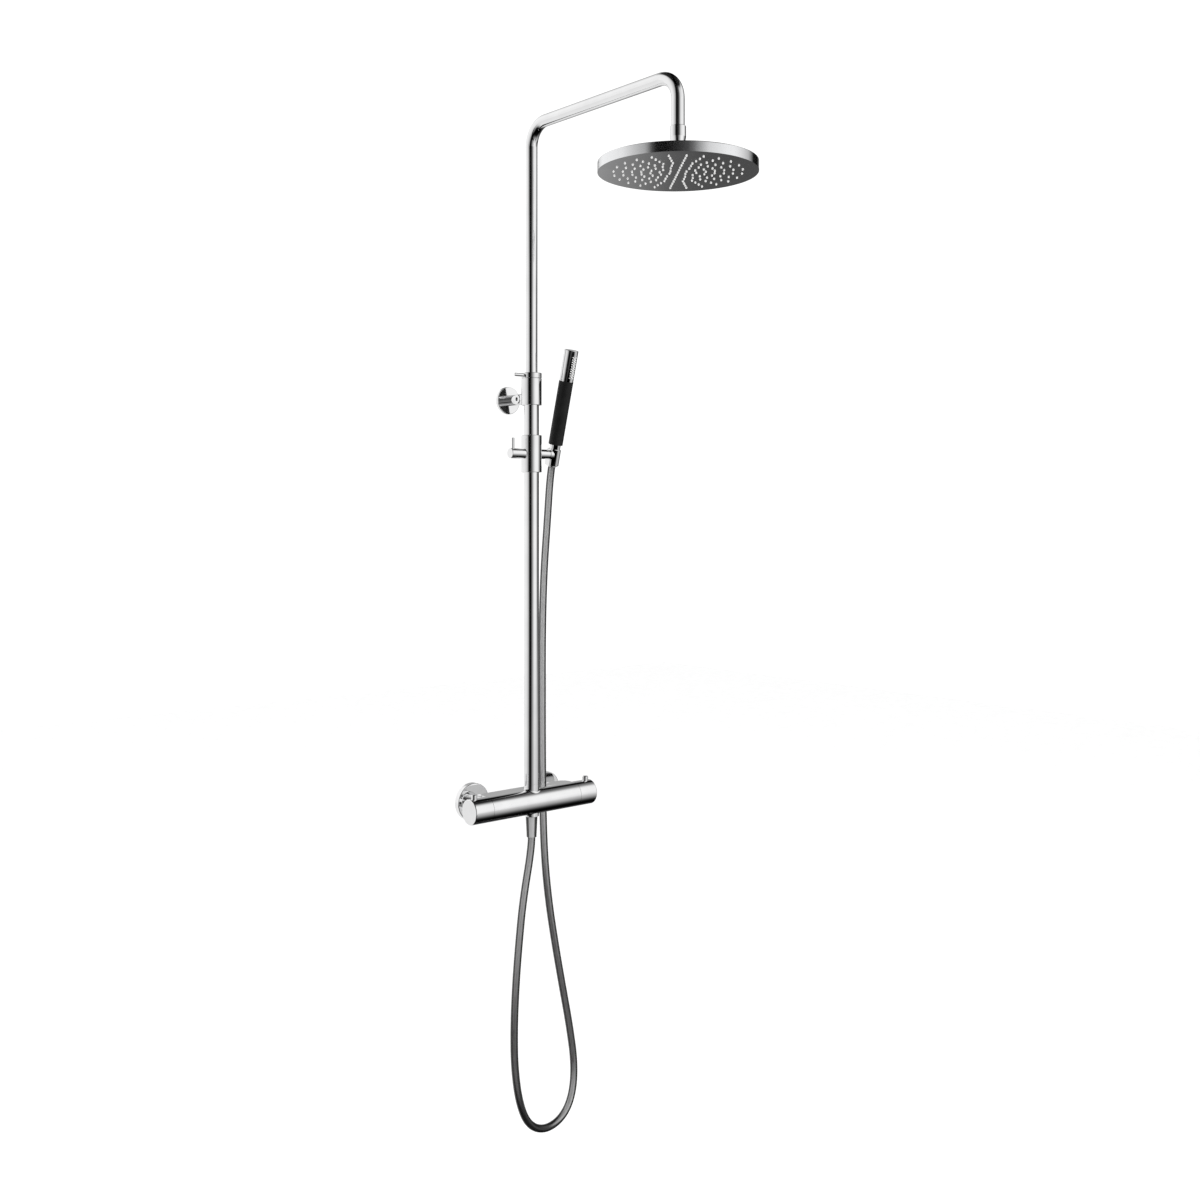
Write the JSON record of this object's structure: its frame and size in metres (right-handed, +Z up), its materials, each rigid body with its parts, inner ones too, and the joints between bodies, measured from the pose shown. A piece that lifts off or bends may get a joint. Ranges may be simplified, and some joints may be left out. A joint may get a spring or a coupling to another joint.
{
  "type": "rainfall shower column",
  "caption": "Wall-hung bar shower valve with a telescopic riser, overhead rain head on a swivelling arm, and a hand shower on a sliding holder with a hanging hose.",
  "frame": {"origin": "on the finished wall plane, midway between the two water inlets and at their height", "axes": "+X to the right along the valve as the user sees it, +Y into the wall, +Z up along the riser"},
  "size_m": [0.25, 0.551, 1.6862],
  "materials": {
    "chrome": "polished chrome plate",
    "brushed_rim": "chrome with a fine brushed rim",
    "face_plate": "satin chrome plate",
    "silicone": "pale silicone",
    "grip_rubber": "matt black",
    "hose_skin": "glossy silver with fine ribs",
    "nut_skin": "pale satin plate",
    "brass": "machined",
    "steel": "plain",
    "nylon": "moulded",
    "seal_rubber": "matt",
    "ceramic": "ground"
  },
  "bodies": {
    "column": {"valve_body": "chrome", "wall_unions": "chrome", "union_nuts": "chrome", "wall_flanges": "chrome", "inlet_washers": "seal_rubber", "check_valves": "brass", "flow_cartridge": "nylon", "thermostat_cartridge": "nylon", "cartridge_nuts": "brass", "flow_disc_fixed": "ceramic", "wax_element": "brass", "riser_tube": "chrome", "riser_connector": "brass", "bracket_flange": "chrome", "bracket_base": "steel", "bracket_screws": "steel", "bracket_stem": "chrome", "bracket_grub_screw": "steel", "bracket_collar": "chrome", "clamp_collet": "nylon", "guide_bush": "nylon", "hose_outlet": "brass", "lower_hose_nut": "nut_skin", "shower_hose": "hose_skin"},
    "flow_knob": {"flow_handle": "chrome", "flow_spindle": "brass", "flow_handle_screw": "steel"},
    "eco_stop": {"eco_stop_button": "chrome"},
    "temperature_knob": {"temperature_handle": "chrome", "temperature_spindle": "brass", "temperature_handle_screw": "steel"},
    "heat_stop": {"heat_stop_button": "chrome"},
    "height_lock": {"lock_ring": "chrome", "lock_ring_pin": "chrome"},
    "telescope": {"pipe_piston": "brass", "piston_seals": "seal_rubber"},
    "shower_arm": {"upper_pipe": "chrome", "swivel_nut": "chrome"},
    "head_swivel": {"ball_seat": "nylon"},
    "rain_head": {"head_ball": "brass", "head_shell": "brushed_rim", "head_face_plate": "face_plate", "nozzle_mat": "silicone", "head_diffuser": "nylon", "head_screws": "steel", "head_seal": "seal_rubber"},
    "slider": {"slider_bush": "nylon"},
    "slider_collar": {"slider_sleeve": "chrome", "holder_stem": "chrome"},
    "clamp": {"clamp_knob": "chrome", "clamp_lever_pin": "chrome"},
    "holder": {"holder_cup": "chrome", "holder_axle_screw": "steel"},
    "hose_end": {"upper_hose_nut": "chrome", "hose_washer": "seal_rubber"},
    "hand_shower": {"handset_core": "nylon", "handset_grip": "grip_rubber", "handset_tube": "chrome", "spray_insert": "chrome", "handset_cap": "chrome"}
  },
  "joints": [
    {"name": "flow_turn", "type": "hinge", "parent": "column", "child": "flow_knob", "pos_m": [-0.1, -0.068, 0], "axis": [1, 0, 0], "range_deg": [-90, 90]},
    {"name": "eco_stop_press", "type": "slide", "parent": "flow_knob", "child": "eco_stop", "axis": [0, 0, -1], "range_m": [0, 0.0025], "stiffness_N_per_m": 600, "springref_m": -0.001},
    {"name": "temperature_turn", "type": "hinge", "parent": "column", "child": "temperature_knob", "pos_m": [0.1, -0.068, 0], "axis": [1, 0, 0], "range_deg": [-120, 45]},
    {"name": "heat_stop_press", "type": "slide", "parent": "temperature_knob", "child": "heat_stop", "axis": [0, 0, -1], "range_m": [0, 0.0025], "stiffness_N_per_m": 600, "springref_m": -0.001},
    {"name": "height_lock_turn", "type": "hinge", "parent": "column", "child": "height_lock", "pos_m": [0, -0.068, 0.7], "axis": [0, 0, 1], "range_deg": [0, 120]},
    {"name": "height_slide", "type": "slide", "parent": "column", "child": "telescope", "axis": [0, 0, 1], "range_m": [-0.33, 0.17]},
    {"name": "arm_swivel", "type": "hinge", "parent": "telescope", "child": "shower_arm", "pos_m": [0, -0.068, 0.7], "axis": [0, 0, 1], "range_deg": [-75, 75]},
    {"name": "head_spin", "type": "hinge", "parent": "shower_arm", "child": "head_swivel", "pos_m": [0, -0.416, 1.014], "axis": [0, 0, 1], "continuous": true},
    {"name": "head_tilt", "type": "hinge", "parent": "head_swivel", "child": "rain_head", "pos_m": [0, -0.416, 1.014], "axis": [1, 0, 0], "range_deg": [-12, 12]},
    {"name": "slider_height", "type": "slide", "parent": "column", "child": "slider", "axis": [0, 0, 1], "range_m": [-0.3, 0.045], "deforming": ["shower_hose"]},
    {"name": "slider_swivel", "type": "hinge", "parent": "slider", "child": "slider_collar", "pos_m": [0, -0.068, 0.573], "axis": [0, 0, 1], "range_deg": [-80, 20], "deforming": ["shower_hose"]},
    {"name": "clamp_turn", "type": "hinge", "parent": "slider_collar", "child": "clamp", "pos_m": [-0.03, -0.068, 0.573], "axis": [1, 0, 0], "range_deg": [-90, 90]},
    {"name": "holder_tilt", "type": "hinge", "parent": "slider_collar", "child": "holder", "pos_m": [0.036, -0.068, 0.573], "axis": [1, 0, 0], "range_deg": [-12, 20], "deforming": ["shower_hose"]},
    {"name": "handset_lift", "type": "slide", "parent": "holder", "child": "hose_end", "axis": [0, -0.2656, 0.9641], "range_m": [0, 0.06], "deforming": ["shower_hose"]},
    {"name": "handset_spin", "type": "hinge", "parent": "hose_end", "child": "hand_shower", "pos_m": [0.0475, -0.067, 0.573], "axis": [0, -0.2656, 0.9641], "continuous": true}
  ]
}
